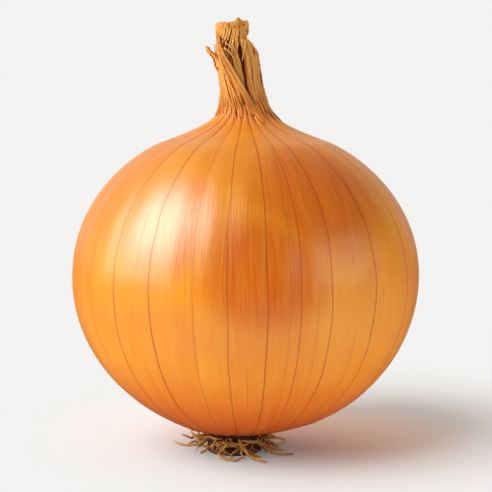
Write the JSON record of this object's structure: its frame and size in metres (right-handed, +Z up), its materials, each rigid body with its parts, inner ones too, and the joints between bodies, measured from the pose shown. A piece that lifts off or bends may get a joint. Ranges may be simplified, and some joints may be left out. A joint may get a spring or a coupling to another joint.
{
  "type": "onion",
  "caption": "Whole brown onion: a globe bulb in veined papery skin, with a dry twisted neck above and a tuft of dry roots that it stands on.",
  "frame": {"origin": "on the surface that the onion stands on, under the middle of the bulb and of the bounding box", "axes": "+Z up, from the roots to the neck; the front, where the wrap leaf crosses the neck, faces -Y; +X to the right"},
  "size_m": [0.081, 0.081, 0.1015],
  "materials": {
    "skin": "satin, thin papery outer skin with fine lengthwise veins",
    "dry_leaf": "matt, dry fibrous leaf ends, creased lengthwise",
    "dry_root": "matt, dry wiry root strands"
  },
  "bodies": {
    "root": {"bulb": "skin", "sheath_front": "dry_leaf", "sheath_right": "dry_leaf", "sheath_left": "dry_leaf", "sheath_back_right": "dry_leaf", "sheath_back": "dry_leaf", "sheath_back_left": "dry_leaf", "wrap_leaf": "dry_leaf", "torn_leaf_cup": "dry_leaf", "root_plate": "dry_root", "root_01": "dry_root", "root_02": "dry_root", "root_03": "dry_root", "root_04": "dry_root", "root_05": "dry_root", "root_06": "dry_root", "root_07": "dry_root", "root_08": "dry_root", "root_09": "dry_root", "root_10": "dry_root", "root_11": "dry_root", "root_12": "dry_root", "root_13": "dry_root", "root_14": "dry_root", "root_15": "dry_root", "root_16": "dry_root", "root_17": "dry_root", "root_18": "dry_root", "root_19": "dry_root", "root_20": "dry_root"}
  },
  "joints": []
}
